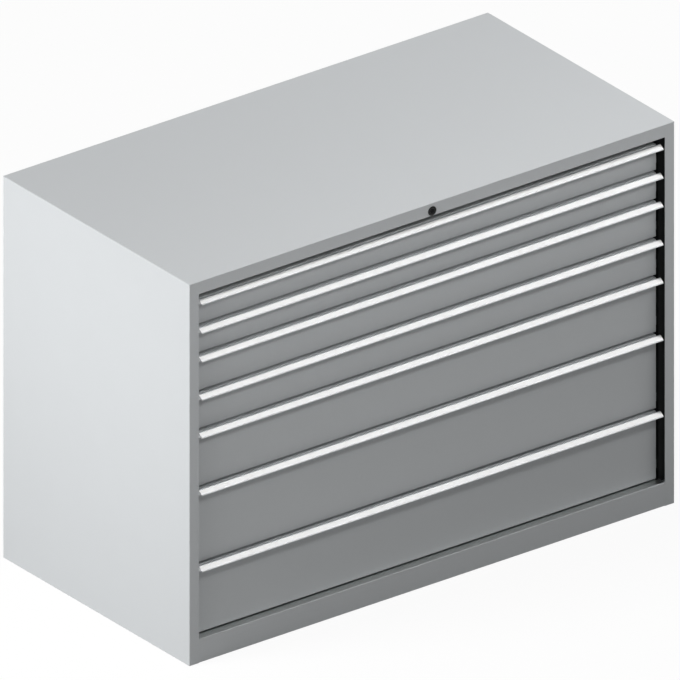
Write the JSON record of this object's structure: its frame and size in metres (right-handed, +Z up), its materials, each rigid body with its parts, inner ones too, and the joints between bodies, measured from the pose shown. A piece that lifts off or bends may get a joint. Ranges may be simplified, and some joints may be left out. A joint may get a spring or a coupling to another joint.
{
  "type": "drawer cabinet",
  "caption": "Low, wide steel drawer cabinet: full-extension drawers on telescopic roller runners, full-width label handles and a central lock.",
  "frame": {"origin": "middle of the floor area that the cabinet covers with its handles, at floor level", "axes": "+X across to the right as seen from the front, +Y from the front to the back, +Z up"},
  "size_m": [1.431, 0.728, 1],
  "materials": {
    "light_grey_paint": "satin powder coat",
    "dark_primer": "matt",
    "zinc_plate": "bright zinc",
    "handle_aluminium": "satin anodised",
    "label_white": "plain",
    "black_cap": "satin",
    "lock_plug": "satin"
  },
  "bodies": {
    "housing": {"left_side_panel": "light_grey_paint", "right_side_panel": "light_grey_paint", "back_panel": "light_grey_paint", "top_panel": "light_grey_paint", "floor_panel": "light_grey_paint", "front_plinth": "light_grey_paint", "top_front_rail": "light_grey_paint", "front_left_upright": "dark_primer", "front_right_upright": "dark_primer", "rear_left_upright": "dark_primer", "rear_right_upright": "dark_primer", "cabinet_rails_left": "zinc_plate", "cabinet_rails_right": "zinc_plate", "lock_housing": "black_cap"},
    "lock": {"lock_cylinder": "lock_plug", "lock_cam": "zinc_plate"},
    "lock_rod": {"lock_rod": "zinc_plate"},
    "locking_bar": {"locking_bar": "zinc_plate"},
    "drawer_1": {"drawer_1_tray": "light_grey_paint", "drawer_1_front": "light_grey_paint", "drawer_1_handle": "handle_aluminium", "drawer_1_label": "label_white", "drawer_1_runners": "zinc_plate"},
    "carriages_1": {"drawer_1_carriages": "zinc_plate"},
    "drawer_2": {"drawer_2_tray": "light_grey_paint", "drawer_2_front": "light_grey_paint", "drawer_2_handle": "handle_aluminium", "drawer_2_label": "label_white", "drawer_2_runners": "zinc_plate"},
    "carriages_2": {"drawer_2_carriages": "zinc_plate"},
    "drawer_3": {"drawer_3_tray": "light_grey_paint", "drawer_3_front": "light_grey_paint", "drawer_3_handle": "handle_aluminium", "drawer_3_label": "label_white", "drawer_3_runners": "zinc_plate"},
    "carriages_3": {"drawer_3_carriages": "zinc_plate"},
    "drawer_4": {"drawer_4_tray": "light_grey_paint", "drawer_4_front": "light_grey_paint", "drawer_4_handle": "handle_aluminium", "drawer_4_label": "label_white", "drawer_4_runners": "zinc_plate"},
    "carriages_4": {"drawer_4_carriages": "zinc_plate"},
    "drawer_5": {"drawer_5_tray": "light_grey_paint", "drawer_5_front": "light_grey_paint", "drawer_5_handle": "handle_aluminium", "drawer_5_label": "label_white", "drawer_5_runners": "zinc_plate"},
    "carriages_5": {"drawer_5_carriages": "zinc_plate"},
    "drawer_6": {"drawer_6_tray": "light_grey_paint", "drawer_6_front": "light_grey_paint", "drawer_6_handle": "handle_aluminium", "drawer_6_label": "label_white", "drawer_6_runners": "zinc_plate"},
    "carriages_6": {"drawer_6_carriages": "zinc_plate"},
    "drawer_7": {"drawer_7_tray": "light_grey_paint", "drawer_7_front": "light_grey_paint", "drawer_7_handle": "handle_aluminium", "drawer_7_label": "label_white", "drawer_7_runners": "zinc_plate"},
    "carriages_7": {"drawer_7_carriages": "zinc_plate"}
  },
  "joints": [
    {"name": "lock_turn", "type": "hinge", "parent": "housing", "child": "lock", "pos_m": [0, -0.361, 0.98], "axis": [0, 1, 0], "range_deg": [0, 90]},
    {"name": "lock_rod_slide", "type": "slide", "parent": "housing", "child": "lock_rod", "axis": [-1, 0, 0], "range_m": [0, 0.0085]},
    {"name": "locking_bar_lift", "type": "slide", "parent": "housing", "child": "locking_bar", "axis": [0, 0, 1], "range_m": [0, 0.0085]},
    {"name": "drawer_1_slide", "type": "slide", "parent": "housing", "child": "drawer_1", "axis": [0, -1, 0], "range_m": [0, 0.62]},
    {"name": "carriages_1_slide", "type": "slide", "parent": "housing", "child": "carriages_1", "axis": [0, -1, 0], "range_m": [0, 0.31]},
    {"name": "drawer_2_slide", "type": "slide", "parent": "housing", "child": "drawer_2", "axis": [0, -1, 0], "range_m": [0, 0.62]},
    {"name": "carriages_2_slide", "type": "slide", "parent": "housing", "child": "carriages_2", "axis": [0, -1, 0], "range_m": [0, 0.31]},
    {"name": "drawer_3_slide", "type": "slide", "parent": "housing", "child": "drawer_3", "axis": [0, -1, 0], "range_m": [0, 0.62]},
    {"name": "carriages_3_slide", "type": "slide", "parent": "housing", "child": "carriages_3", "axis": [0, -1, 0], "range_m": [0, 0.31]},
    {"name": "drawer_4_slide", "type": "slide", "parent": "housing", "child": "drawer_4", "axis": [0, -1, 0], "range_m": [0, 0.62]},
    {"name": "carriages_4_slide", "type": "slide", "parent": "housing", "child": "carriages_4", "axis": [0, -1, 0], "range_m": [0, 0.31]},
    {"name": "drawer_5_slide", "type": "slide", "parent": "housing", "child": "drawer_5", "axis": [0, -1, 0], "range_m": [0, 0.62]},
    {"name": "carriages_5_slide", "type": "slide", "parent": "housing", "child": "carriages_5", "axis": [0, -1, 0], "range_m": [0, 0.31]},
    {"name": "drawer_6_slide", "type": "slide", "parent": "housing", "child": "drawer_6", "axis": [0, -1, 0], "range_m": [0, 0.62]},
    {"name": "carriages_6_slide", "type": "slide", "parent": "housing", "child": "carriages_6", "axis": [0, -1, 0], "range_m": [0, 0.31]},
    {"name": "drawer_7_slide", "type": "slide", "parent": "housing", "child": "drawer_7", "axis": [0, -1, 0], "range_m": [0, 0.62]},
    {"name": "carriages_7_slide", "type": "slide", "parent": "housing", "child": "carriages_7", "axis": [0, -1, 0], "range_m": [0, 0.31]}
  ],
  "couplings": [
    {"joint": "lock_turn", "follows": "lock_rod_slide", "rad_per_m": 184.79},
    {"joint": "locking_bar_lift", "follows": "lock_rod_slide", "ratio": 1},
    {"joint": "carriages_1_slide", "follows": "drawer_1_slide", "ratio": 0.5},
    {"joint": "carriages_2_slide", "follows": "drawer_2_slide", "ratio": 0.5},
    {"joint": "carriages_3_slide", "follows": "drawer_3_slide", "ratio": 0.5},
    {"joint": "carriages_4_slide", "follows": "drawer_4_slide", "ratio": 0.5},
    {"joint": "carriages_5_slide", "follows": "drawer_5_slide", "ratio": 0.5},
    {"joint": "carriages_6_slide", "follows": "drawer_6_slide", "ratio": 0.5},
    {"joint": "carriages_7_slide", "follows": "drawer_7_slide", "ratio": 0.5}
  ]
}
